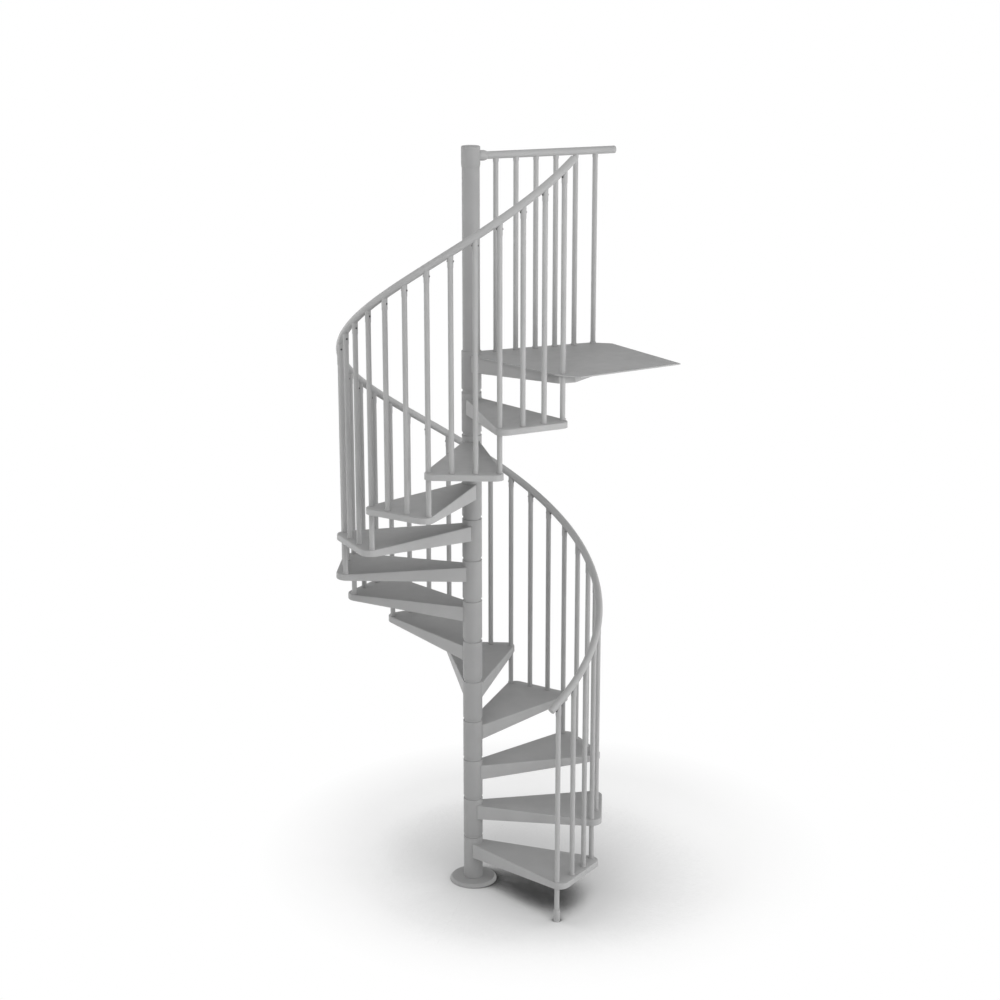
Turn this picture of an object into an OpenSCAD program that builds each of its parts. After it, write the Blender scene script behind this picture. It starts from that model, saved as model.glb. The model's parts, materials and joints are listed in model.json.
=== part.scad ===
// Steel spiral staircase: hub sleeves stacked on a column, folded wedge treads, a helical
// handrail on round balusters, and a square corner landing with its own guard.
// The origin is the centre of the base flange's underside. The climb turns counter-clockwise
// seen from above, and the landing's two outer edges lie along X and Y.

/* [Climb] */
// Rise from one tread top to the next
rise = 222.2; // [200:0.1:240]
// Turn from one tread to the next, in degrees
turn_angle = 30.08; // [28:0.01:32]
// Direction of the lowest baluster, in degrees
start_angle = -80.08; // [-84:0.01:-76]

/* [Column] */
// Outer diameter of the column pole
pole_d = 88.9; // [76:0.1:102]
// Wall of the column pole
pole_wall = 4; // [3:0.5:8]
// Wall of the hub sleeves
hub_wall = 6.05; // [4:0.05:10]
// Height of a hub sleeve above its tread
hub_above_tread = 31.5; // [20:0.5:60]
// Height of the spacer ring between two hub sleeves
spacer_h = 17; // [4:0.5:24]
// Wall of the spacer rings
spacer_wall = 1; // [0.8:0.1:3.5]
// Diameter of the base flange
flange_d = 250; // [200:1:320]
// Thickness of the base flange
flange_t = 20; // [12:1:30]
// Width of the bevel round the base flange
flange_bevel = 11; // [4:1:20]
// Height of the base flange's upright rim
flange_rim = 8; // [4:1:10]

/* [Treads] */
// Distance from the column axis to the tread's outer end
tread_reach = 690; // [675:1:740]
// Distance from a side edge to the radius through the baluster beside it, at the column axis
side_margin = 38; // [32:1:42]
// The same distance at the circle of the balusters
corner_margin = 20; // [18.5:0.5:30]
// Radius of the tread's outer corners
corner_r = 50; // [40:1:60]
// Thickness of the folded sheet
sheet = 4; // [3:0.5:6]
// Depth of the skirts at the column
hub_skirt = 78; // [50:1:100]
// Depth of the skirts at the outer end
end_skirt = 30; // [20:1:45]

/* [Guard] */
// Distance from the tread's outer end in to the circle of the balusters
baluster_inset = 30; // [20:0.5:40]
// Diameter of the balusters
baluster_d = 26; // [20:1:30]
// Diameter of the handrails
rail_d = 38; // [34:1:48]
// Height of the handrail's centre line above the tread's front edge and the landing
rail_height = 986; // [900:1:1100]
// Run of the handrail past the lowest baluster, seen from above
rail_low_run = 52; // [35:1:90]
// Run of the handrail past the highest baluster, seen from above
rail_high_run = 63; // [35:1:90]
// Wall of the collars at the feet of the balusters
collar_wall = 2.8; // [2:0.1:8]
// Height of the collars
collar_h = 8; // [5:1:14]
// Wall of the ferrules under the handrail
ferrule_wall = 1.2; // [1:0.1:1.8]
// Height of the ferrules below the handrail
ferrule_h = 47; // [30:1:60]
// Height of the ferrules below the landing rail
guard_ferrule_h = 14; // [8:1:40]
// Wall of the lowest baluster's foot
foot_wall = 3.8; // [3:0.1:8]
// Height of the lowest baluster's foot
foot_h = 65; // [40:1:90]
// Thickness of the solid end of that foot
foot_sole = 20; // [8:1:30]

/* [Landing] */
// Run of the landing's two outer edges past the reach of the treads
landing_overhang = 60; // [50:1:110]
// Thickness of the landing plate
landing_t = 6; // [4:0.5:10]
// Depth of the landing's skirts at the column
landing_hub_skirt = 82; // [60:1:110]
// Depth of the landing's skirts at the outer end
landing_end_skirt = 36; // [24:1:50]
// Height of the landing's hub above its plate
landing_hub_above = 15; // [8:1:40]
// Direction of the landing's back edge, in degrees
back_angle = -10.93; // [-13:0.01:-9.5]
// Overlap of the back edge's line with the landing's hub
back_overlap = 2.8; // [1:0.1:8]
// Width of the cut corner at the end of the back edge
back_corner_cut = 78; // [60:1:90]
// Distance from the landing's front edge to the line of balusters' centres beside it
front_margin = 38; // [30:1:44]
// Distance from the reach of the treads back to the end of the landing's front edge
front_setback = 42; // [30:1:60]
// Turn of the landing's outline at the end of its front edge, in degrees
front_corner_angle = 24; // [15:1:35]

/* [Landing guard] */
// Direction of the landing rail, in degrees
guard_angle = -8.6; // [-9.5:0.01:-7.5]
// Distance from the column axis to the first landing baluster
guard_first = 134; // [120:1:150]
// Distance from the landing's outer edge in to the last landing baluster
guard_edge = 72.5; // [50:0.5:90]
// Run of the landing rail past the last baluster
guard_end = 110; // [40:1:120]
// Height of the cap on the column
cap_h = 105; // [90:1:140]
// Height of the cap's top above the landing rail's centre line
cap_above_rail = 49; // [42:1:60]
// Wall of the cap
cap_wall = 2.75; // [2:0.05:6]
// Thickness of the cap's lid
cap_lid = 8; // [4:1:14]
// Width of the bevel round the cap's top
cap_bevel = 4; // [2:0.5:6]
// Height of the taper at the cap's lower end
cap_taper = 16; // [4:1:24]
// Wall of the socket that holds the landing rail
socket_wall = 6.8; // [5:0.1:10]
// Length of the socket past the cap
socket_len = 36; // [24:1:50]
// Depth of the bevel at the socket's outer end
socket_bevel = 5; // [2:0.5:6]
// Length of that bevel along the socket
socket_taper = 14; // [4:1:20]
// Thickness of the socket's floor
socket_floor = 6; // [4:1:10]

/* [Hidden] */
tread_count = 12;
infill = 3;
baluster_count = infill * tread_count + 1;
guard_count = 6;
rail_parts = 4;

// Clearances: sliding fit on the pole, welded seams, and bored seats
slide_gap = 0.3;
weld_gap = 0.3;
seat_gap = 0.2;
hole_gap = 0.5;
past = 1;

pole_r = pole_d / 2;
bore_r = pole_r + slide_gap;
hub_r = bore_r + hub_wall;
cap_r = bore_r + cap_wall;
baluster_r = baluster_d / 2;
hole_r = baluster_r + hole_gap;
sleeve_r = baluster_r + seat_gap;
rail_r = rail_d / 2;
rail_seat_r = rail_r + seat_gap;
socket_r = rail_seat_r + socket_wall;

// The landing takes the place of one more tread
landing_z = (tread_count + 1) * rise;
landing_top = landing_z + landing_t;
guard_z = landing_top + rail_height;
cap_top = guard_z + cap_above_rail;
half_turn = turn_angle / 2;

// Balusters stand on a circle; their pitch is measured along it
baluster_circle = tread_reach - baluster_inset;
baluster_pitch = baluster_circle * turn_angle / infill * PI / 180;
rail_slope = atan(rise / infill / baluster_pitch);

// Half the angle between a tread's side edges; the margin beside the balusters shrinks outwards
side_angle = half_turn - asin((side_margin - corner_margin) / baluster_circle);

// The landing's outline follows the reach of the treads
landing_half = tread_reach + landing_overhang;
front_edge = tread_reach - front_setback;
back_offset = hub_r - back_overlap;
guard_last = landing_half - guard_edge;
guard_pitch = (guard_last - guard_first) / (guard_count - 1);

// Handrail sections: sides of the tube, and rings in one baluster pitch
rail_sides = 16;
rings_in_pitch = 2;
low_end_pitch = -rail_low_run / baluster_pitch;
high_end_pitch = baluster_count - 1 + rail_high_run / baluster_pitch;

steel = [0.66, 0.66, 0.66];
$fn = 64;

function two_digits(n) = str(n < 10 ? "0" : "", n);
function tread_name(n) = str("tread_", two_digits(n));
function balusters_name(n) = str("balusters_", two_digits(n));
function handrail_name(i) = str("handrail_", i);

function along(a) = [cos(a), sin(a)];
function left_of(a) = [-sin(a), cos(a)];

function tread_angle(n) = start_angle + (n - 0.5) * turn_angle;
function baluster_angle(k) = start_angle + k * turn_angle / infill;
function rail_z(k) = rail_height + rise * (k / infill + 1);
// Joint between two hub sleeves, above tread n
function joint_z(n) = n * rise + hub_above_tread;
// A corner baluster stands on the tread below the one that it passes through
function baluster_foot_z(k) =
    k == 0 ? foot_sole
    : k % infill == 0 ? rise * k / infill
    : rise * (floor(k / infill) + 1);
function guard_at(i) = guard_first + i * guard_pitch;
// Handrail sections meet half way between two balusters
function rail_break(i) =
    i == 0 ? low_end_pitch
    : i == rail_parts ? high_end_pitch
    : i * (baluster_count - 1) / rail_parts + 0.5;

// Upright tube about the column axis, from z0 to z1
module ring(outer_r, inner_r, z0, z1) {
    translate([0, 0, z0])
        difference() {
            cylinder(r = outer_r, h = z1 - z0);
            translate([0, 0, -past])
                cylinder(r = inner_r, h = z1 - z0 + 2 * past);
        }
}

module at_baluster(k) {
    rotate(baluster_angle(k))
        translate([baluster_circle, 0, 0])
            children();
}

module at_guard(i) {
    rotate(guard_angle)
        translate([guard_at(i), 0, 0])
            children();
}

module base_flange() {
    color(steel)
        rotate_extrude()
            polygon([
                [0, 0],
                [flange_d / 2, 0],
                [flange_d / 2, flange_rim],
                [flange_d / 2 - flange_bevel, flange_t],
                [0, flange_t]
            ]);
}

module center_pole() {
    color(steel)
        ring(pole_r, pole_r - pole_wall, flange_t, cap_top - cap_lid);
}

module hub_sleeves() {
    color(steel)
        for (n = [1:tread_count])
            ring(hub_r, bore_r, n == 1 ? flange_t : joint_z(n - 1) + spacer_h, joint_z(n));
}

module rise_spacers() {
    color(steel)
        for (n = [1:tread_count])
            ring(bore_r + spacer_wall, bore_r, joint_z(n), joint_z(n) + spacer_h);
}

// Plan of a tread, drawn inwards by inset: straight sides tangent to two corner arcs, or cut
// straight from tangent point to tangent point
module wedge_plan(inset, cut_corners) {
    miter = cut_corners ? inset * tan((90 + side_angle) / 4) : 0;
    corner_u = tread_reach - corner_r;
    corner_v = (side_margin - corner_r + corner_u * sin(side_angle)) / cos(side_angle);
    arc_r = corner_r - inset;
    side_u = corner_u - arc_r * sin(side_angle) - miter * cos(side_angle);
    side_v = corner_v + arc_r * cos(side_angle) - miter * sin(side_angle);
    end_u = tread_reach - inset;
    end_v = corner_v - miter;
    root_v = (side_margin - inset) / cos(side_angle);
    polygon([
        [0, -root_v],
        [side_u, -side_v],
        [end_u, -end_v],
        [end_u, end_v],
        [side_u, side_v],
        [0, root_v]
    ]);
    if (!cut_corners)
        for (side = [-1, 1])
            translate([corner_u, side * corner_v])
                circle(r = arc_r);
}

// Side view of a folded wedge: skirts taper from the column to the outer end
module wedge_profile(root_depth, end_depth) {
    rotate([90, 0, 0])
        linear_extrude(2 * tread_reach, center = true)
            polygon([
                [0, 0],
                [tread_reach + past, 0],
                [tread_reach + past, -end_depth],
                [hub_r, -root_depth],
                [0, -root_depth]
            ]);
}

// Folded sheet wedge, open below, coped to its hub and bored for the front baluster
module folded_wedge(root_depth, end_depth, cut_corners) {
    difference() {
        intersection() {
            translate([0, 0, -root_depth])
                linear_extrude(root_depth)
                    wedge_plan(0, cut_corners);
            wedge_profile(root_depth, end_depth);
        }
        translate([0, 0, -root_depth - past])
            linear_extrude(root_depth + past - sheet)
                wedge_plan(sheet, cut_corners);
        translate([0, 0, -root_depth - past])
            cylinder(r = hub_r + weld_gap, h = root_depth + 2 * past);
        rotate(-half_turn)
            translate([baluster_circle, 0, -root_depth])
                cylinder(r = hole_r, h = root_depth + past);
    }
}

module tread(n) {
    color(steel)
        translate([0, 0, n * rise])
            rotate(tread_angle(n))
                folded_wedge(hub_skirt, end_skirt, false);
}

module landing_hub() {
    color(steel)
        ring(hub_r, bore_r, joint_z(tread_count) + spacer_h, landing_top + landing_hub_above);
}

module landing_support() {
    color(steel)
        translate([0, 0, landing_z])
            rotate(tread_angle(tread_count + 1))
                folded_wedge(landing_hub_skirt, landing_end_skirt, true);
}

// Plan of the landing: front edge, cut front corner, two square edges, cut back corner
module landing_plan() {
    front_angle = baluster_angle(baluster_count - 1);
    front_root = -front_margin * left_of(front_angle);
    front_tip = front_root + front_edge * along(front_angle);
    cut = along(front_angle + front_corner_angle);
    nose = front_tip - cut * (front_tip.y + landing_half) / cut.y;
    back_root = back_offset * left_of(back_angle);
    back_run = along(back_angle);
    back_tip = back_root + back_run * (landing_half - back_corner_cut - back_root.x) / back_run.x;
    polygon([
        front_root,
        front_tip,
        nose,
        [landing_half, -landing_half],
        [landing_half, back_tip.y - back_corner_cut],
        back_tip,
        back_root
    ]);
}

module landing_plate() {
    color(steel)
        translate([0, 0, landing_z])
            difference() {
                linear_extrude(landing_t)
                    landing_plan();
                translate([0, 0, -past])
                    cylinder(r = hub_r + weld_gap, h = landing_t + 2 * past);
                at_baluster(baluster_count - 1)
                    translate([0, 0, -past])
                        cylinder(r = hole_r, h = landing_t + 2 * past);
            }
}

// Space of a handrail over a baluster: a straight cylinder along the local slope
module rail_seat(slope) {
    rotate([slope - 90, 0, 0])
        cylinder(r = rail_seat_r, h = 4 * rail_d, center = true);
}

// Upright bar whose top is coped to the underside of a handrail at rail_level
module coped_bar(bar_r, foot_level, rail_level, slope) {
    difference() {
        translate([0, 0, foot_level])
            cylinder(r = bar_r, h = rail_level - foot_level);
        translate([0, 0, rail_level])
            rail_seat(slope);
    }
}

// Thin sleeve round a baluster's top, coped like the bar inside it
module coped_ferrule(rail_level, slope, height) {
    low = rail_level - rail_r / cos(slope) - height;
    difference() {
        coped_bar(sleeve_r + ferrule_wall, low, rail_level, slope);
        translate([0, 0, low - past])
            cylinder(r = sleeve_r, h = rail_level - low + 2 * past);
    }
}

module collar() {
    ring(sleeve_r + collar_wall, sleeve_r, 0, collar_h);
}

module stair_baluster(k) {
    at_baluster(k)
        coped_bar(baluster_r, baluster_foot_z(k), rail_z(k), rail_slope);
}

// The corner baluster and the infill balusters of tread n
module balusters(n) {
    color(steel)
        for (k = [infill * (n - 1):infill * n - 1])
            stair_baluster(k);
}

module end_baluster() {
    color(steel)
        stair_baluster(baluster_count - 1);
}

module baluster_foot() {
    color(steel)
        at_baluster(0)
            difference() {
                cylinder(r = sleeve_r + foot_wall, h = foot_h);
                translate([0, 0, foot_sole])
                    cylinder(r = sleeve_r, h = foot_h);
            }
}

module baluster_collars() {
    color(steel) {
        for (k = [1:baluster_count - 1])
            at_baluster(k)
                translate([0, 0, baluster_foot_z(k)])
                    collar();
        for (i = [0:guard_count - 1])
            at_guard(i)
                translate([0, 0, landing_top])
                    collar();
    }
}

module rail_ferrules() {
    color(steel) {
        for (k = [0:baluster_count - 1])
            at_baluster(k)
                coped_ferrule(rail_z(k), rail_slope, ferrule_h);
        for (i = [0:guard_count - 1])
            at_guard(i)
                rotate(90)
                    coped_ferrule(guard_z, 0, guard_ferrule_h);
    }
}

// Point on the tube's skin at pitch k and angle a round the tube, square to the helix
function rail_point(k, a) =
    let (
        turn = baluster_angle(k),
        out = baluster_circle + rail_r * cos(a),
        lean = -rail_r * sin(a) * sin(rail_slope),
        lift = rail_r * sin(a) * cos(rail_slope)
    )
    [each out * along(turn) + lean * left_of(turn), rail_z(k) + lift];

// Helical tube between two pitches, closed at both ends
module rail_tube(k0, k1) {
    rings = ceil((k1 - k0) * rings_in_pitch);
    last = rings * rail_sides;
    points = [
        for (i = [0:rings])
            for (s = [0:rail_sides - 1])
                rail_point(k0 + (k1 - k0) * i / rings, 360 * s / rail_sides)
    ];
    skin = [
        for (i = [0:rings - 1])
            for (s = [0:rail_sides - 1])
                let (
                    a = i * rail_sides + s,
                    b = i * rail_sides + (s + 1) % rail_sides
                )
                each [
                    [a, a + rail_sides, b + rail_sides],
                    [a, b + rail_sides, b]
                ]
    ];
    low_end = [for (s = [0:rail_sides - 1]) s];
    high_end = [for (s = [rail_sides - 1:-1:0]) last + s];
    polyhedron(points, concat(skin, [low_end, high_end]));
}

module handrail(i) {
    color(steel)
        rail_tube(rail_break(i - 1), rail_break(i));
}

module landing_balusters() {
    color(steel)
        for (i = [0:guard_count - 1])
            at_guard(i)
                rotate(90)
                    coped_bar(baluster_r, landing_top, guard_z, 0);
}

// Lies along the landing rail, with its start at the given distance from the column axis
module along_guard(start) {
    translate([0, 0, guard_z])
        rotate(guard_angle)
            translate([start, 0, 0])
                rotate([0, 90, 0])
                    children();
}

module landing_rail() {
    start = cap_r + socket_floor;
    color(steel)
        along_guard(start)
            cylinder(r = rail_r, h = guard_last + guard_end - start);
}

module rail_socket() {
    straight = cap_r + socket_len - socket_taper;
    color(steel)
        difference() {
            along_guard(0) {
                cylinder(r = socket_r, h = straight);
                translate([0, 0, straight])
                    cylinder(r1 = socket_r, r2 = socket_r - socket_bevel, h = socket_taper);
            }
            along_guard(cap_r + socket_floor)
                cylinder(r = rail_seat_r, h = socket_len);
            translate([0, 0, guard_z - 2 * socket_r])
                cylinder(r = cap_r + weld_gap, h = 4 * socket_r);
        }
}

module newel_cap() {
    cap_low = cap_top - cap_h;
    color(steel)
        rotate_extrude()
            polygon([
                [bore_r, cap_low],
                [cap_r, cap_low + cap_taper],
                [cap_r, cap_top - cap_bevel],
                [cap_r - cap_bevel, cap_top],
                [0, cap_top],
                [0, cap_top - cap_lid],
                [bore_r, cap_top - cap_lid]
            ]);
}

base_flange();
center_pole();
hub_sleeves();
rise_spacers();
for (n = [1:tread_count])
    tread(n);
landing_hub();
landing_support();
landing_plate();
for (n = [1:tread_count])
    balusters(n);
end_baluster();
baluster_foot();
baluster_collars();
rail_ferrules();
for (i = [1:rail_parts])
    handrail(i);
landing_balusters();
landing_rail();
rail_socket();
newel_cap();
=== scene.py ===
"""Looks of a painted steel spiral staircase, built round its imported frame. Sizes are in metres."""
import json
import math

import bmesh
import bpy
from mathutils import Matrix, Vector


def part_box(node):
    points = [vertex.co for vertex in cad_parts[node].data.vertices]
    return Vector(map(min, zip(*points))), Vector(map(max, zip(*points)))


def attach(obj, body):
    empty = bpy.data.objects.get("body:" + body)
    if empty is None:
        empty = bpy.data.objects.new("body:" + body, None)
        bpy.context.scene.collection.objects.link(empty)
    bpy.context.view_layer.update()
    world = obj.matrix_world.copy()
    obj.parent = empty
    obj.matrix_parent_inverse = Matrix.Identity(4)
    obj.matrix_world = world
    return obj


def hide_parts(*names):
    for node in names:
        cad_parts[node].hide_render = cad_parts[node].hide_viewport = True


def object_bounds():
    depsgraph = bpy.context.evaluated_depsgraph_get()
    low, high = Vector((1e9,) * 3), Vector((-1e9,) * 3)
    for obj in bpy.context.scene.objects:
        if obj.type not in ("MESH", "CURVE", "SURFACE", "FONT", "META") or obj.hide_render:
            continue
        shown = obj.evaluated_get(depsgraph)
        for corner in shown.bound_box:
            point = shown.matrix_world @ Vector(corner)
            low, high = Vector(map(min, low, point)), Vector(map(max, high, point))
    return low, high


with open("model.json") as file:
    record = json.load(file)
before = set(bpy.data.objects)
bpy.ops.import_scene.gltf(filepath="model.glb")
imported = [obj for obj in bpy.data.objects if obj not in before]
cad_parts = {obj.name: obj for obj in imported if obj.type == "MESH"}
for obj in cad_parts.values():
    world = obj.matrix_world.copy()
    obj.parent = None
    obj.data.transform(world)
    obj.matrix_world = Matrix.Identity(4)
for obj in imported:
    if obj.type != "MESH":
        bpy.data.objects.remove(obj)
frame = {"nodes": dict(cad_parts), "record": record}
cad_low, cad_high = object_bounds()
BODY = "root"

# Climb, with INFILL balusters to each tread and one more at the top
TREADS = 12
INFILL = 3
RISE = 0.2222
TURN = math.radians(30.08)
START = math.radians(-80.08)
HALF_TURN = TURN / 2
BALUSTERS = TREADS * INFILL + 1

# Guard
BALUSTER_CIRCLE = 0.660
RAIL_R = 0.019
RAIL_HEIGHT = 0.986
RAIL_END_ROUND = 0.004
RAIL_RINGS = 190
RAIL_PAST_LOW = 0.052 / BALUSTER_CIRCLE
RAIL_PAST_HIGH = 0.063 / BALUSTER_CIRCLE
SLEEVE_R = 0.0132
FERRULE_R = 0.0144
COLLAR_R = 0.016
COLLAR_H = 0.008
COLLAR_ROUND = 0.002
FOOT_SOLE = 0.020
GUARD_ANGLE = math.radians(-8.6)
GUARD_FIRST = 0.134
GUARD_LAST = 0.6775
GUARD_COUNT = 6

# Ferrule screws: their drop below the handrail's centre line, and a head's outline as (radius, height)
SCREW_DROP = 0.040
SCREW_HEAD = [(0.0006, 0.0012), (0.0019, 0.0012), (0.0020, 0.0028), (0.0037, 0.0023), (0.0049, 0.0008),
              (0.0050, -0.0012), (0.0006, -0.0012)]

# Folded sheet of the treads and of the landing's support
REACH = 0.690
SIDE_MARGIN = 0.038
CORNER_MARGIN = 0.020
SIDE_ANGLE = HALF_TURN - math.asin((SIDE_MARGIN - CORNER_MARGIN) / BALUSTER_CIRCLE)
CORNER_R = 0.050
SHEET = 0.004
FOLD_R = 0.006
WELD_GAP = 0.0003
TREAD_DEPTHS = (0.078, 0.030)
LANDING_DEPTHS = (0.082, 0.036)

# Column fittings
SLIDE_GAP = 0.0003
FLANGE_RIM = 0.008
FLANGE_BEVEL = 0.011
CAP_TAPER = 0.016
CAP_BEVEL = 0.004
CAP_LID = 0.008
SOCKET_LENGTH = 0.036
SOCKET_TAPER = 0.014
SOCKET_BEVEL = 0.005
SOCKET_FLOOR = 0.006

# Rounding of turned and cut edges, the angles from which an edge is a crease or bevelled, points on arcs
EDGE = 0.0015
CREASE_ANGLE = math.radians(35)
BEVEL_ANGLE = math.radians(40)
ARC_POINTS = 9
QUARTER_POINTS = 4

# Weld beads at the hubs: ripples, thin tips, and the swing left out where a bead turns over a fold
BEAD_R = 0.0028
BEAD_PITCH = 0.0045
BEAD_RIPPLE = 0.14
BEAD_TIP = 0.4
BEAD_TURN = 0.04
SKIRT_POINTS = 70
TOP_POINTS = 110

HUB_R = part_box("landing_hub")[1].x
POLE_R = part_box("center_pole")[1].x
CAP_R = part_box("newel_cap")[1].x
LANDING_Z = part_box("landing_plate")[0].z
LANDING_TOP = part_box("landing_plate")[1].z
GUARD_Z = LANDING_TOP + RAIL_HEIGHT
RAIL_SLOPE = math.atan(RISE / (BALUSTER_CIRCLE * TURN))

# Paint: noise scales of its clouds, specks, gloss patches and orange peel, and its surface
CLOUD_SCALE = 5.0
SPECK_SCALE = 420.0
GLOSS_SCALE = 22.0
PEEL_SCALE = 650.0
PEEL_DEPTH = 0.0003
DARKER = 0.95
LIGHTER = 1.04
PAINT_IOR = 1.45
PAINT_SPECULAR = 0.28

# Photograph's view: azimuth of its right-hand side, and places as (right, back, up) from the column's foot
VIEW_AZIMUTH = math.radians(-31.6)
CAMERA_FROM_AXIS = (0.131, -10.0, 4.94)
CAMERA_AIM = (0.144, 0.0, 2.128)
CAMERA_LENS = 72.8
CAMERA_CLIP = 1000.0

# Lamps: bearings are in degrees from the view's right-hand side; the side lamps are (name, bearing, watts)
WORLD_LEVEL = 0.06
SIDE_DISTANCE = 7.0
SIDE_HEIGHT = 2.6
SIDE_SIZE = (4.0, 5.0)
SIDE_LAMPS = (("left_lamp", 180, 179), ("front_left_lamp", -120, 103), ("front_right_lamp", -43, 239),
              ("right_lamp", 0, 168), ("back_right_lamp", 45, 82), ("back_left_lamp", 135, 110))

# Floor as it shows: a painted shadow makes its tone follow how open it lies to the sky, on top of the lamps'
# real shadow, and it fades to white outside a halo
FLOOR_HALF = 300.0
SKY_REACH = 1.2
SKY_SAMPLES = 24
# Painted shadow on the floor: its level for each openness to the sky, as (openness, level) stops
PAINTED_SHADOW_BY_OPENNESS = ((0.40, 0.05), (0.48, 0.10), (0.56, 0.50), (0.65, 0.62), (0.75, 0.63), (0.825, 0.735),
                    (0.875, 0.79), (0.92, 0.845), (0.96, 1.0))
LIT_SHARE = 0.50
GLOW_SHARE = 0.55
FLOOR_ALBEDO = (0.9, 0.9, 0.9)
PAINTED_SHADOW_CENTRE = (0.40, 0.39, 0.0)
PAINTED_SHADOW_REACH = (1.10, 1.60)


def polar(radius, angle, z=0.0):
    return Vector((radius * math.cos(angle), radius * math.sin(angle), z))


def spread(low, high, count):
    """Evenly spaced numbers from low to high, both included."""
    return [low + (high - low) * i / (count - 1) for i in range(count)]


# Materials

def add_node(tree, kind, **sockets):
    node = tree.nodes.new(kind)
    for name, value in sockets.items():
        node.inputs[name.replace("_", " ")].default_value = value
    return node


def noise(tree, coordinates, scale, detail):
    node = add_node(tree, "ShaderNodeTexNoise", Scale=scale, Detail=detail, Roughness=0.55)
    tree.links.new(coordinates, node.inputs["Vector"])
    return node.outputs["Fac"]


def remap(tree, value, low, high, start=0.3, end=0.7):
    node = add_node(tree, "ShaderNodeMapRange")
    node.inputs["From Min"].default_value = start
    node.inputs["From Max"].default_value = end
    node.inputs["To Min"].default_value = low
    node.inputs["To Max"].default_value = high
    tree.links.new(value, node.inputs["Value"])
    return node.outputs["Result"]


def blend(tree, factor, first, second):
    node = tree.nodes.new("ShaderNodeMix")
    node.data_type = "RGBA"
    tree.links.new(factor, node.inputs["Factor"])
    for socket, colour in (("A", first), ("B", second)):
        target = next(s for s in node.inputs if s.name == socket and s.type == "RGBA")
        if isinstance(colour, bpy.types.NodeSocket):
            tree.links.new(colour, target)
        else:
            target.default_value = (*colour, 1.0)
    return next(s for s in node.outputs if s.type == "RGBA")


def compute(tree, operation, first, second):
    node = tree.nodes.new("ShaderNodeMath")
    node.operation = operation
    for socket, value in zip(node.inputs, (first, second)):
        if isinstance(value, bpy.types.NodeSocket):
            tree.links.new(value, socket)
        else:
            socket.default_value = value
    return node.outputs[0]


def ramp(tree, value, stops):
    """Straight-line ramp through (position, level) stops in rising order."""
    node = tree.nodes.new("ShaderNodeValToRGB")
    elements = node.color_ramp.elements
    elements[0].position, elements[1].position = stops[0][0], stops[-1][0]
    for position, _ in stops[1:-1]:
        elements.new(position)
    for element, (_, level) in zip(elements, stops):
        element.color = (level, level, level, 1.0)
    tree.links.new(value, node.inputs["Fac"])
    return node.outputs["Color"]


def powder_coat(name, shade, rough_low, rough_high, peel):
    """Satin paint: cloudy shade and gloss, and a fine orange-peel surface."""
    material = bpy.data.materials.new(name)
    material.use_nodes = True
    tree = material.node_tree
    shader = tree.nodes["Principled BSDF"]
    place = tree.nodes.new("ShaderNodeTexCoord").outputs["Object"]
    cloud = noise(tree, place, CLOUD_SCALE, 4.0)
    speck = noise(tree, place, SPECK_SCALE, 2.0)
    gloss = noise(tree, place, GLOSS_SCALE, 3.0)
    dark = tuple(c * DARKER for c in shade)
    light = tuple(c * LIGHTER for c in shade)
    tone = blend(tree, remap(tree, cloud, 0.0, 1.0), dark, light)
    fleck = blend(tree, remap(tree, speck, 0.0, 0.3, 0.45, 0.8), tone, dark)
    tree.links.new(fleck, shader.inputs["Base Color"])
    tree.links.new(remap(tree, gloss, rough_low, rough_high), shader.inputs["Roughness"])
    bump = add_node(tree, "ShaderNodeBump", Strength=peel, Distance=PEEL_DEPTH)
    tree.links.new(noise(tree, place, PEEL_SCALE, 1.0), bump.inputs["Height"])
    tree.links.new(bump.outputs["Normal"], shader.inputs["Normal"])
    shader.inputs["Metallic"].default_value = 0.0
    shader.inputs["IOR"].default_value = PAINT_IOR
    shader.inputs["Specular IOR Level"].default_value = PAINT_SPECULAR
    return material


# Painted shade: the column's grey is a darker copy of the one powder coat that the treads and guard carry
COLUMN_SHADED_PAINT = powder_coat("column_paint_shaded", (0.326, 0.326, 0.326), 0.5, 0.62, 0.18)
TREAD_PAINT = powder_coat("tread_paint", (0.37, 0.37, 0.37), 0.5, 0.65, 0.22)
GUARD_PAINT = powder_coat("guard_paint", (0.37, 0.37, 0.37), 0.46, 0.58, 0.15)
SCREW_STEEL = powder_coat("screw_steel", (0.05, 0.05, 0.052), 0.3, 0.45, 0.1)
PAINTS = {"column": COLUMN_SHADED_PAINT, "treads": TREAD_PAINT, "guard": GUARD_PAINT}

for row in frame["record"]["subparts"]:
    node = frame["nodes"][row["node"]]
    node.data.materials.clear()
    node.data.materials.append(PAINTS[row["material_slot"]])


# Mesh building

def finish_piece(name, mesh_builder, slot, nodes=(), material=None):
    """Turns a bmesh into a piece that rides on the stair and stands for the named nodes."""
    bmesh.ops.remove_doubles(mesh_builder, verts=mesh_builder.verts, dist=1e-6)
    bmesh.ops.recalc_face_normals(mesh_builder, faces=mesh_builder.faces)
    mesh = bpy.data.meshes.new(name)
    mesh_builder.to_mesh(mesh)
    mesh_builder.free()
    mesh.shade_smooth()
    mesh.set_sharp_from_angle(angle=CREASE_ANGLE)
    mesh.materials.append(material or PAINTS[slot])
    piece = bpy.data.objects.new(name, mesh)
    bpy.context.scene.collection.objects.link(piece)
    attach(piece, BODY)
    if nodes:
        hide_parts(*nodes)
    return piece


def add_strip(mesh, first, second, closed=False):
    """Quads between two rows of vertices of the same length."""
    count = len(first)
    for i in range(count if closed else count - 1):
        j = (i + 1) % count
        mesh.faces.new((first[i], first[j], second[j], second[i]))


def close_tube(mesh, rings):
    """Skin over rings of points, with a flat face on either end."""
    rows = [[mesh.verts.new(p) for p in ring] for ring in rings]
    for first, second in zip(rows, rows[1:]):
        add_strip(mesh, first, second, closed=True)
    mesh.faces.new(rows[0])
    mesh.faces.new(rows[-1])


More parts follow.
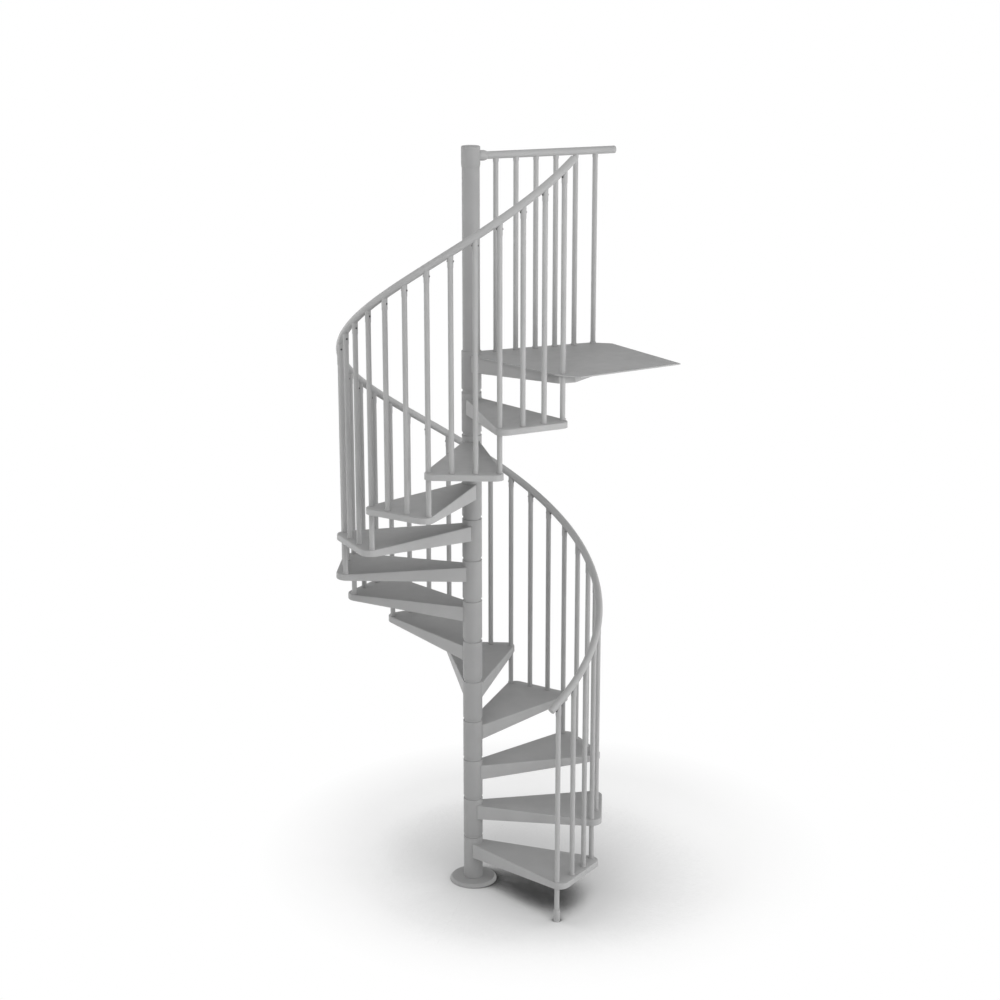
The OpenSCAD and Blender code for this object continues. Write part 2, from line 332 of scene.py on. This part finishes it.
def soften(points, radius, steps=3):
    """Closed outline with each corner off the axis replaced by a small curve."""
    soft = []
    for i, corner in enumerate(points):
        before, after = points[i - 1], points[(i + 1) % len(points)]
        corner = Vector(corner)
        if corner.x == 0:
            soft.append(corner)
            continue
        start, end = Vector(before) - corner, Vector(after) - corner
        start *= min(radius / start.length, 1 / 3)
        end *= min(radius / end.length, 1 / 3)
        for t in spread(0.0, 1.0, steps + 1):
            soft.append(corner + start * (1 - t) ** 2 + end * t ** 2)
    return soft


def add_lathe(mesh, outline, place=Matrix.Identity(4), sides=64):
    """Revolves a closed outline of (radius, height) points about the local Z axis."""
    rings = []
    for radius, height in outline:
        ring = [place @ polar(radius, 2 * math.pi * s / sides, height) for s in range(sides)]
        rings.append([mesh.verts.new(p) for p in ring])
    for i, ring in enumerate(rings):
        add_strip(mesh, rings[i - 1], ring, closed=True)


def turned(name, outlines, slot, nodes, place=Matrix.Identity(4), sides=64):
    """One piece of one or more turned parts about an upright axis."""
    mesh = bmesh.new()
    for outline in outlines:
        add_lathe(mesh, soften(outline, EDGE), place, sides)
    return finish_piece(name, mesh, slot, nodes)


def box_outline(inner, outer, low, high):
    return [(inner, low), (outer, low), (outer, high), (inner, high)]


# Folded treads

def wedge_row(inset, height_of, cut_corners):
    """Row of points round a wedge's outline, drawn inwards by inset, from hub to hub."""
    corner_u = REACH - CORNER_R
    corner_v = (SIDE_MARGIN - CORNER_R + corner_u * math.sin(SIDE_ANGLE)) / math.cos(SIDE_ANGLE)
    corner = Vector((corner_u, corner_v))
    seam_r = HUB_R + WELD_GAP
    offset = SIDE_MARGIN - inset
    run = math.sqrt(seam_r ** 2 - offset ** 2)
    side = Vector((math.cos(SIDE_ANGLE), math.sin(SIDE_ANGLE)))
    out = Vector((-math.sin(SIDE_ANGLE), math.cos(SIDE_ANGLE)))
    left = [run * side + offset * out]
    if cut_corners:
        miter = inset * math.tan((math.pi / 2 + SIDE_ANGLE) / 4)
        left.append(corner + (CORNER_R - inset) * out - miter * side)
        left.append(corner + Vector((CORNER_R - inset, -miter)))
    else:
        for a in spread(SIDE_ANGLE + math.pi / 2, 0.0, ARC_POINTS):
            left.append(corner + (CORNER_R - inset) * Vector((math.cos(a), math.sin(a))))
    right = [Vector((p.x, -p.y)) for p in left]
    return [Vector((p.x, p.y, height_of(p.x))) for p in right + left[::-1]]


def add_folded_wedge(mesh, place, depths, cut_corners):
    """Sheet wedge with rounded folds, open below and coped to its hub."""
    root, end = depths
    run = REACH - HUB_R
    inner_r = FOLD_R - SHEET

    def lower_edge(u):
        return -root + (root - end) * max(0.0, u - HUB_R) / run

    outer, inner = [(0.0, lower_edge)], [(SHEET, lower_edge)]
    for a in spread(0.0, math.pi / 2, QUARTER_POINTS):
        outer.append((FOLD_R - FOLD_R * math.cos(a), lambda u, a=a: FOLD_R * (math.sin(a) - 1)))
        inner.append((FOLD_R - inner_r * math.cos(a), lambda u, a=a: inner_r * math.sin(a) - FOLD_R))
    outer_rows, inner_rows = [
        [[mesh.verts.new(place @ p) for p in wedge_row(*level, cut_corners)] for level in levels]
        for levels in (outer, inner)]
    for rows in (outer_rows, inner_rows):
        for low, high in zip(rows, rows[1:]):
            add_strip(mesh, low, high)
    add_strip(mesh, outer_rows[0], inner_rows[0])
    for tip in (0, -1):
        add_strip(mesh, [r[tip] for r in outer_rows], [r[tip] for r in inner_rows])
    close_plate(mesh, place, outer_rows[-1], inner_rows[-1])


def close_plate(mesh, place, top_row, under_row):
    """Closes the wedge's flat top and its underside along the arc of the hub."""
    local = place.inverted() @ top_row[-1].co
    swing = math.atan2(local.y, local.x)
    arcs = []
    for row, height in ((top_row, 0.0), (under_row, -SHEET)):
        middle = [polar(HUB_R + WELD_GAP, a, height) for a in spread(swing, -swing, ARC_POINTS)[1:-1]]
        arcs.append([row[-1]] + [mesh.verts.new(place @ p) for p in middle] + [row[0]])
        mesh.faces.new(row + arcs[-1][1:-1])
    add_strip(mesh, *arcs)


def wedge_place(step, level):
    angle = START + (step - 0.5) * TURN
    return Matrix.Translation((0, 0, level)) @ Matrix.Rotation(angle, 4, "Z")


for step in range(1, TREADS + 1):
    tread = bmesh.new()
    add_folded_wedge(tread, wedge_place(step, step * RISE), TREAD_DEPTHS, cut_corners=False)
    finish_piece(f"folded_tread_{step:02d}", tread, "treads", [f"tread_{step:02d}"])

support = bmesh.new()
add_folded_wedge(support, wedge_place(TREADS + 1, LANDING_Z), LANDING_DEPTHS, cut_corners=True)
finish_piece("folded_landing_support", support, "treads", ["landing_support"])

plate_edge = frame["nodes"]["landing_plate"].modifiers.new("soft_edge", "BEVEL")
plate_edge.width = EDGE
plate_edge.segments = 2
plate_edge.limit_method = "ANGLE"
plate_edge.angle_limit = BEVEL_ANGLE


# Column: turned pieces with softened edges

def node_outline(node, inner):
    """Outline of a plain ring about the column, from its node's box."""
    low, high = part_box(node)
    return box_outline(inner, high.x, low.z, high.z)


def sleeve_outlines():
    """The stacked hub sleeves: each starts above the groove over the one below."""
    low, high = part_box("hub_sleeves")
    spacer_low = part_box("rise_spacers")[0].z
    joint = spacer_low - RISE
    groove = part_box("rise_spacers")[1].z - (spacer_low + (TREADS - 1) * RISE)
    for step in range(1, TREADS + 1):
        bottom = low.z if step == 1 else joint + (step - 1) * RISE + groove
        yield box_outline(POLE_R, high.x, bottom, joint + step * RISE)


def flange_outline():
    radius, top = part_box("base_flange")[1].x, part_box("base_flange")[1].z
    return [(0, 0), (radius, 0), (radius, FLANGE_RIM), (radius - FLANGE_BEVEL, top), (0, top)]


def cap_outline():
    low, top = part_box("newel_cap")[0].z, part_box("newel_cap")[1].z
    bore = POLE_R + SLIDE_GAP
    return [(bore, low), (CAP_R, low + CAP_TAPER), (CAP_R, top - CAP_BEVEL), (CAP_R - CAP_BEVEL, top),
            (0, top), (0, top - CAP_LID), (bore, top - CAP_LID)]


turned("turned_base_flange", [flange_outline()], "column", ["base_flange"], sides=96)
turned("turned_hub_sleeves", sleeve_outlines(), "column", ["hub_sleeves"])
turned("turned_landing_hub", [node_outline("landing_hub", POLE_R)], "column", ["landing_hub"])
turned("turned_newel_cap", [cap_outline()], "column", ["newel_cap"])


# Weld beads between the hubs and what they carry

def add_bead(mesh, path, sides=8):
    """Rippled bead along a path of points on the hub's face, tapered at both ends."""
    length = 0.0
    rings = []
    for i, point in enumerate(path):
        ahead = path[min(i + 1, len(path) - 1)] - path[max(i - 1, 0)]
        length += (point - path[max(i - 1, 0)]).length
        outward = Vector((point.x, point.y, 0)).normalized()
        across = ahead.normalized().cross(outward)
        ripple = 1 + BEAD_RIPPLE * math.sin(2 * math.pi * length / BEAD_PITCH)
        radius = BEAD_R * ripple * (BEAD_TIP if i in (0, len(path) - 1) else 1.0)
        turns = [2 * math.pi * s / sides for s in range(sides)]
        rings.append([point + radius * (math.cos(t) * outward + math.sin(t) * across) for t in turns])
    close_tube(mesh, rings)


def seam_path(step, top, low):
    """Up one skirt's end at the hub, over the tread's top and down the other skirt."""
    middle = START + (step - 0.5) * TURN
    swing = SIDE_ANGLE + math.asin(SIDE_MARGIN / HUB_R)
    over = swing - BEAD_TURN
    climb = spread(low, top - FOLD_R, SKIRT_POINTS)
    seam_r = HUB_R + WELD_GAP
    path = [polar(seam_r, middle - swing, z) for z in climb]
    path += [polar(seam_r, middle + a, top) for a in spread(-over, over, TOP_POINTS)]
    path += [polar(seam_r, middle + swing, z) for z in reversed(climb)]
    return path


def weld_beads():
    mesh = bmesh.new()
    for step in range(1, TREADS + 1):
        add_bead(mesh, seam_path(step, step * RISE, step * RISE - TREAD_DEPTHS[0]))
    add_bead(mesh, seam_path(TREADS + 1, LANDING_TOP, LANDING_Z - LANDING_DEPTHS[0]))
    return finish_piece("weld_beads", mesh, "column")


weld_beads()


# Handrails

def rail_ring(turn, height, radius, slide, sides=28):
    """Ring of the handrail's skin, square to the helix, slid along it."""
    ring = []
    for s in range(sides):
        a = 2 * math.pi * s / sides
        out = BALUSTER_CIRCLE + radius * math.cos(a)
        lean = -radius * math.sin(a) * math.sin(RAIL_SLOPE) + slide * math.cos(RAIL_SLOPE)
        lift = radius * math.sin(a) * math.cos(RAIL_SLOPE) + slide * math.sin(RAIL_SLOPE)
        across = Vector((-math.sin(turn), math.cos(turn), 0)) * lean
        ring.append(polar(out, turn, height + lift) + across)
    return ring


def rounded_end(direction):
    """Pairs of ring radius and slide that round a rail's end, from its face inwards."""
    pairs = []
    for a in spread(math.pi / 2, 0.0, QUARTER_POINTS):
        back = RAIL_END_ROUND * (1 - math.sin(a))
        pairs.append((RAIL_R - RAIL_END_ROUND * (1 - math.cos(a)), direction * -back))
    return pairs


def helical_rail():
    low, high = START - RAIL_PAST_LOW, START + TREADS * TURN + RAIL_PAST_HIGH
    turns = spread(low, high, RAIL_RINGS)

    def height(turn):
        return RAIL_HEIGHT + RISE * ((turn - START) / TURN + 1)

    rings = [rail_ring(low, height(low), r, slide) for r, slide in rounded_end(-1)]
    rings += [rail_ring(t, height(t), RAIL_R, 0.0) for t in turns[1:-1]]
    rings += [rail_ring(high, height(high), r, slide) for r, slide in reversed(rounded_end(1))]
    mesh = bmesh.new()
    close_tube(mesh, rings)
    return finish_piece("helical_handrail", mesh, "guard", [f"handrail_{i}" for i in range(1, 5)])


def guard_ring(radius, along, sides=32):
    """Ring about the landing rail; without a distance along it, the ring lies on the cap's face."""
    place = Matrix.Translation((0, 0, GUARD_Z)) @ Matrix.Rotation(GUARD_ANGLE, 4, "Z")
    ring = []
    for s in range(sides):
        across = radius * math.cos(2 * math.pi * s / sides)
        lift = radius * math.sin(2 * math.pi * s / sides)
        start = math.sqrt((CAP_R + WELD_GAP) ** 2 - across ** 2) if along is None else along
        ring.append(place @ Vector((start, across, lift)))
    return ring


def straight_rail():
    tip = Vector(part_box("landing_rail")[1])
    length = (tip.x - RAIL_R * abs(math.sin(GUARD_ANGLE))) / math.cos(GUARD_ANGLE)
    rings = [guard_ring(RAIL_R, CAP_R + SOCKET_FLOOR)]
    rings += [guard_ring(r, length + slide) for r, slide in reversed(rounded_end(1))]
    mesh = bmesh.new()
    close_tube(mesh, rings)
    return finish_piece("straight_landing_rail", mesh, "guard", ["landing_rail"])


def rail_socket():
    """Sleeve on the cap that holds the landing rail: coped to the cap, with a bevelled mouth."""
    low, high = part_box("rail_socket")
    radius = (high.z - low.z) / 2
    bore = RAIL_R + SLIDE_GAP
    mouth = CAP_R + SOCKET_LENGTH
    shoulder = mouth - SOCKET_TAPER
    lip = radius - SOCKET_BEVEL
    profile = [(bore, None), (radius, None), (radius, shoulder - EDGE), (radius - EDGE / 4, shoulder + EDGE),
               (lip + EDGE / 3, mouth - EDGE / 2), (lip - EDGE / 4, mouth), (bore, mouth)]
    mesh = bmesh.new()
    rows = [[mesh.verts.new(p) for p in guard_ring(*level)] for level in profile]
    for i, row in enumerate(rows):
        add_strip(mesh, rows[i - 1], row, closed=True)
    return finish_piece("coped_rail_socket", mesh, "guard", ["rail_socket"])


helical_rail()
straight_rail()
rail_socket()


# Fittings

def baluster_angle(k):
    return START + k * TURN / INFILL


def baluster_level(k):
    return RISE * (k // INFILL if k % INFILL == 0 else k // INFILL + 1)


def foot_outline():
    low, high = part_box("baluster_foot")
    radius = (high.x - low.x) / 2
    return [(0, 0), (radius, 0), (radius, high.z), (SLEEVE_R, high.z), (SLEEVE_R, FOOT_SOLE),
            (0, FOOT_SOLE)]


def collars():
    mesh = bmesh.new()
    outline = soften(box_outline(SLEEVE_R, COLLAR_R, 0.0, COLLAR_H), COLLAR_ROUND)
    centres = [polar(BALUSTER_CIRCLE, baluster_angle(k), baluster_level(k)) for k in range(1, BALUSTERS)]
    centres += [polar(r, GUARD_ANGLE, LANDING_TOP) for r in spread(GUARD_FIRST, GUARD_LAST, GUARD_COUNT)]
    for centre in centres:
        add_lathe(mesh, outline, Matrix.Translation(centre), sides=28)
    return finish_piece("turned_collars", mesh, "guard", ["baluster_collars"])


def screws():
    """Dark button-head screws through the ferrules, with a head on the uphill and the downhill side."""
    mesh = bmesh.new()
    for k in range(BALUSTERS):
        height = RAIL_HEIGHT + RISE * (k / INFILL + 1) - SCREW_DROP
        centre = polar(BALUSTER_CIRCLE, baluster_angle(k), height)
        for facing in (baluster_angle(k) - math.pi / 2, baluster_angle(k) + math.pi / 2):
            place = Matrix.Translation(centre + polar(FERRULE_R, facing))
            turn = Matrix.Rotation(facing, 4, "Z") @ Matrix.Rotation(math.pi / 2, 4, "Y")
            add_lathe(mesh, SCREW_HEAD, place @ turn, sides=12)
    return finish_piece("ferrule_screws", mesh, "guard", material=SCREW_STEEL)


turned("turned_baluster_foot", [foot_outline()], "guard", ["baluster_foot"],
       Matrix.Translation(polar(BALUSTER_CIRCLE, START)), sides=40)
collars()
screws()


# Stage: pale floor that keeps the stair's shadow, partly the lamps' real shadow and partly painted shadow
# from its openness to the sky; soft lamps; camera

def seen_directly(tree):
    """1 for rays that show the background: from the camera, mirrored or passing through."""
    path = tree.nodes.new("ShaderNodeLightPath")
    total = path.outputs["Is Camera Ray"]
    for other in ("Is Glossy Ray", "Is Transmission Ray"):
        total = compute(tree, "MAXIMUM", total, path.outputs[other])
    return total


def pale_floor():
    mesh = bmesh.new()
    bmesh.ops.create_grid(mesh, x_segments=1, y_segments=1, size=FLOOR_HALF)
    data = bpy.data.meshes.new("floor")
    mesh.to_mesh(data)
    mesh.free()
    floor = bpy.data.objects.new("floor", data)
    bpy.context.scene.collection.objects.link(floor)
    material = bpy.data.materials.new("floor_white")
    material.use_nodes = True
    tree = material.node_tree
    shader = tree.nodes["Principled BSDF"]
    shader.inputs["Roughness"].default_value = 1.0
    shader.inputs["Specular IOR Level"].default_value = 0.0
    shader.inputs["Emission Color"].default_value = (1.0, 1.0, 1.0, 1.0)
    hollow = add_node(tree, "ShaderNodeAmbientOcclusion", Distance=SKY_REACH)
    hollow.samples = SKY_SAMPLES
    away = add_node(tree, "ShaderNodeVectorMath")
    away.operation = "DISTANCE"
    tree.links.new(tree.nodes.new("ShaderNodeTexCoord").outputs["Object"], away.inputs[0])
    away.inputs[1].default_value = Matrix.Rotation(VIEW_AZIMUTH, 3, "Z") @ Vector(PAINTED_SHADOW_CENTRE)
    far = remap(tree, away.outputs["Value"], 0.0, 1.0, *PAINTED_SHADOW_REACH)
    # Painted shadow: the floor's base colour and glow are darkened by how open it lies to the sky
    tone = ramp(tree, hollow.outputs["AO"], PAINTED_SHADOW_BY_OPENNESS)
    near_painted_shadow = compute(tree, "MULTIPLY", tone, compute(tree, "SUBTRACT", 1.0, far))
    seen = seen_directly(tree)
    lit = compute(tree, "MULTIPLY", near_painted_shadow, LIT_SHARE)
    tree.links.new(blend(tree, seen, FLOOR_ALBEDO, lit), shader.inputs["Base Color"])
    glow = compute(tree, "ADD", compute(tree, "MULTIPLY", near_painted_shadow, GLOW_SHARE), far)
    tree.links.new(compute(tree, "MULTIPLY", glow, seen), shader.inputs["Emission Strength"])
    data.materials.append(material)


def soft_world(level):
    world = bpy.data.worlds.new("studio")
    bpy.context.scene.world = world
    world.use_nodes = True
    tree = world.node_tree
    background = tree.nodes["Background"]
    background.inputs["Color"].default_value = (1.0, 1.0, 1.0, 1.0)
    tree.links.new(remap(tree, seen_directly(tree), level, 1.0, 0.0, 1.0), background.inputs["Strength"])


def soft_lamp(name, bearing, distance, height, size, watts):
    """Softbox at a bearing from the view's right-hand side, turned to the stair's middle."""
    lamp = bpy.data.lights.new(name, "AREA")
    lamp.shape = "RECTANGLE"
    lamp.size, lamp.size_y = size
    lamp.energy = watts
    holder = bpy.data.objects.new(name, lamp)
    bpy.context.scene.collection.objects.link(holder)
    holder.location = polar(distance, VIEW_AZIMUTH + math.radians(bearing), height)
    aim = Vector((0, 0, (cad_low.z + cad_high.z) / 2)) - holder.location
    holder.rotation_euler = aim.to_track_quat("-Z", "Y").to_euler()


def photo_camera():
    turn = Matrix.Rotation(VIEW_AZIMUTH, 3, "Z")
    camera = bpy.data.objects.new("camera", bpy.data.cameras.new("camera"))
    bpy.context.scene.collection.objects.link(camera)
    camera.data.lens = CAMERA_LENS
    camera.data.clip_end = CAMERA_CLIP
    camera.location = turn @ Vector(CAMERA_FROM_AXIS)
    aim = turn @ Vector(CAMERA_AIM) - camera.location
    camera.rotation_euler = aim.to_track_quat("-Z", "Y").to_euler()
    bpy.context.scene.camera = camera


pale_floor()
soft_world(WORLD_LEVEL)
for lamp_name, lamp_bearing, lamp_watts in SIDE_LAMPS:
    soft_lamp(lamp_name, lamp_bearing, SIDE_DISTANCE, SIDE_HEIGHT, SIDE_SIZE, lamp_watts)
soft_lamp("top_lamp", bearing=-90, distance=0.5, height=8.0, size=(5.0, 5.0), watts=90)
soft_lamp("front_top_lamp", bearing=-90, distance=5.0, height=7.0, size=(4.0, 4.0), watts=152)
photo_camera()
bpy.context.scene.view_settings.view_transform = "Standard"
